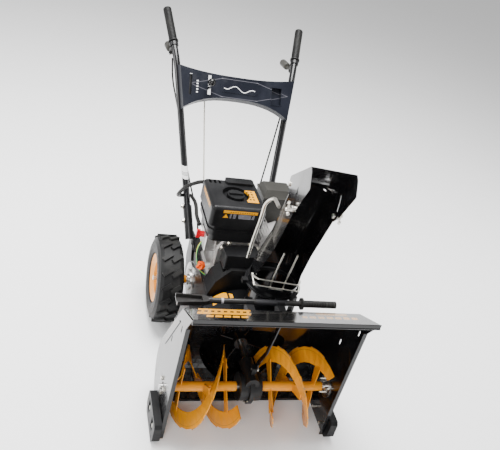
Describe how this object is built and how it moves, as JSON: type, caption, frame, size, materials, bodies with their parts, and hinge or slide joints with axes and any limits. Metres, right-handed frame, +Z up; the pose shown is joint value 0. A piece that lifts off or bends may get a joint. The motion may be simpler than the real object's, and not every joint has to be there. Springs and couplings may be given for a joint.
{
  "type": "two stage snowblower",
  "caption": "Walk-behind petrol snowblower: twin ribbon augers, impeller, tall turning chute with hinged deflector, lugged wheels, engine and splayed handles.",
  "frame": {"origin": "ground point below the middle of the overall box", "axes": "-Y is the intake side, +Y the operator side, +X the machine side with the engine cylinder, +Z up"},
  "size_m": [0.614, 1.3098, 1.0039],
  "materials": {
    "black_paint": "gloss",
    "black_plastic": "moulded",
    "bronze": "machined",
    "cast_alloy": "as cast",
    "cast_black": "painted casting",
    "gloss_plastic": "gloss moulded",
    "grey_plastic": "moulded",
    "orange_paint": "satin",
    "orange_plastic": "moulded",
    "red_plastic": "moulded",
    "rubber": "moulded",
    "steel": "machined",
    "tyre": "tread",
    "zinc": "zinc plated"
  },
  "bodies": {
    "chassis": {"auger_housing": "black_paint", "left_side_plate": "black_paint", "right_side_plate": "black_paint", "scraper_bar": "black_paint", "housing_bolts": "zinc", "rotor_bearings": "zinc", "gearbox_left_half": "cast_black", "gearbox_right_half": "cast_black", "impeller_housing": "black_paint", "gearbox_stay": "black_paint", "chute_ring": "black_plastic", "tractor_frame": "black_paint", "axle_bearings": "zinc", "belt_cover": "black_plastic", "drive_belt": "rubber", "crankcase": "cast_alloy", "cylinder": "cast_alloy", "fuel_tank": "black_paint", "tank_cover": "black_plastic", "recoil_shroud": "black_paint", "muffler_box": "grey_plastic", "switch_box": "cast_alloy", "handle_bars": "black_paint", "handle_brackets": "black_paint", "handle_grips": "rubber", "control_panel": "black_plastic", "control_cables": "rubber", "tool_clips": "black_plastic"},
    "auger_rotor": {"auger_shaft": "steel", "left_auger": "orange_paint", "right_auger": "orange_paint", "worm_wheel": "bronze"},
    "impeller_rotor": {"impeller_shaft": "steel", "impeller": "black_paint", "impeller_pulley": "cast_alloy"},
    "engine_crank": {"crankshaft": "steel", "crank_pulley": "cast_alloy"},
    "chute_body": {"chute": "black_paint", "chute_handle": "zinc", "wire_guard": "zinc", "deflector_fasteners": "zinc"},
    "deflector": {"chute_deflector": "black_paint"},
    "wheel_set": {"axle": "steel", "wheel_rims": "orange_paint", "left_tyre": "tyre", "right_tyre": "tyre", "axle_gear": "steel"},
    "drive_wheel_set": {"drive_wheel": "rubber"},
    "friction_disc_set": {"friction_disc": "steel"},
    "left_shoe": {"left_skid_shoe": "black_plastic"},
    "right_shoe": {"right_skid_shoe": "black_plastic"},
    "tool": {"cleanout_tool": "black_plastic"},
    "starter_grip": {"recoil_grip": "black_plastic"},
    "fuel_cap_set": {"fuel_cap": "black_plastic"},
    "oil_cap_set": {"oil_filler_cap": "orange_plastic"},
    "stop_key": {"stop_switch": "red_plastic"},
    "speed_lever_set": {"speed_lever": "gloss_plastic"},
    "shift_rod_set": {"shift_rod": "zinc"},
    "left_lever": {"left_clutch_lever": "grey_plastic"},
    "right_lever": {"right_clutch_lever": "grey_plastic"}
  },
  "joints": [
    {"name": "impeller_spin", "type": "hinge", "parent": "chassis", "child": "impeller_rotor", "pos_m": [0, -0.50892, 0.185], "axis": [0, 1, 0], "continuous": true},
    {"name": "auger_spin", "type": "hinge", "parent": "chassis", "child": "auger_rotor", "pos_m": [0, -0.50892, 0.145], "axis": [1, 0, 0], "continuous": true},
    {"name": "crank_spin", "type": "hinge", "parent": "chassis", "child": "engine_crank", "pos_m": [-0.014, -0.50892, 0.392], "axis": [0, 1, 0], "continuous": true},
    {"name": "friction_disc_spin", "type": "hinge", "parent": "chassis", "child": "friction_disc_set", "pos_m": [0, -0.50892, 0.166], "axis": [0, 1, 0], "continuous": true},
    {"name": "axle_spin", "type": "hinge", "parent": "chassis", "child": "wheel_set", "pos_m": [0, 0.01307, 0.166], "axis": [1, 0, 0], "continuous": true},
    {"name": "drive_wheel_spin", "type": "hinge", "parent": "chassis", "child": "drive_wheel_set", "pos_m": [0, -0.03913, 0.166], "axis": [1, 0, 0], "continuous": true},
    {"name": "chute_turn", "type": "hinge", "parent": "chassis", "child": "chute_body", "pos_m": [0.062, -0.31293, 0.425], "axis": [0, 0, 1], "range_deg": [-75, 95]},
    {"name": "deflector_tilt", "type": "hinge", "parent": "chute_body", "child": "deflector", "pos_m": [0.04637, -0.40156, 0.843], "axis": [0.9848, -0.1736, 0], "range_deg": [0, 26]},
    {"name": "left_shoe_height", "type": "slide", "parent": "chassis", "child": "left_shoe", "axis": [0, 0, 1], "range_m": [-0.019, 0]},
    {"name": "right_shoe_height", "type": "slide", "parent": "chassis", "child": "right_shoe", "axis": [0, 0, 1], "range_m": [-0.019, 0]},
    {"name": "tool_lift", "type": "slide", "parent": "chassis", "child": "tool", "axis": [0, 0, 1], "range_m": [0, 0.08]},
    {"name": "starter_pull", "type": "slide", "parent": "chassis", "child": "starter_grip", "axis": [0, 1, 0], "range_m": [0, 0.45]},
    {"name": "fuel_cap_turn", "type": "hinge", "parent": "chassis", "child": "fuel_cap_set", "pos_m": [-0.054, -0.06893, 0.606], "axis": [0, 0, 1], "range_deg": [0, 90]},
    {"name": "oil_cap_turn", "type": "hinge", "parent": "chassis", "child": "oil_cap_set", "pos_m": [-0.126, -0.11693, 0.3323], "axis": [-0.893, -0.3907, 0.2233], "range_deg": [0, 350]},
    {"name": "stop_key_turn", "type": "hinge", "parent": "chassis", "child": "stop_key", "pos_m": [-0.14, -0.08693, 0.446], "axis": [1, 0, 0], "range_deg": [0, 60]},
    {"name": "speed_lever_tilt", "type": "hinge", "parent": "chassis", "child": "speed_lever_set", "pos_m": [-0.112, 0.42119, 0.78084], "axis": [1, 0, 0], "range_deg": [-22, 22]},
    {"name": "shift_rod_slide", "type": "slide", "parent": "chassis", "child": "shift_rod_set", "axis": [-0.0602, 0.5707, 0.8189], "range_m": [-0.009, 0.009]},
    {"name": "left_lever_squeeze", "type": "hinge", "parent": "chassis", "child": "left_lever", "pos_m": [-0.24614, 0.52267, 0.86198], "axis": [1, 0, 0], "range_deg": [0, 28], "stiffness_Nm_per_rad": 1.2, "springref_deg": -17.19},
    {"name": "right_lever_squeeze", "type": "hinge", "parent": "chassis", "child": "right_lever", "pos_m": [0.24614, 0.52267, 0.86198], "axis": [1, 0, 0], "range_deg": [0, 28], "stiffness_Nm_per_rad": 1.2, "springref_deg": -17.19}
  ],
  "couplings": [
    {"joint": "auger_spin", "follows": "impeller_spin", "ratio": 0.0625},
    {"joint": "crank_spin", "follows": "impeller_spin", "ratio": 2.5882},
    {"joint": "friction_disc_spin", "follows": "impeller_spin", "ratio": 1},
    {"joint": "drive_wheel_spin", "follows": "axle_spin", "ratio": -3.3333},
    {"joint": "shift_rod_slide", "follows": "speed_lever_tilt", "m_per_rad": 0.02}
  ]
}
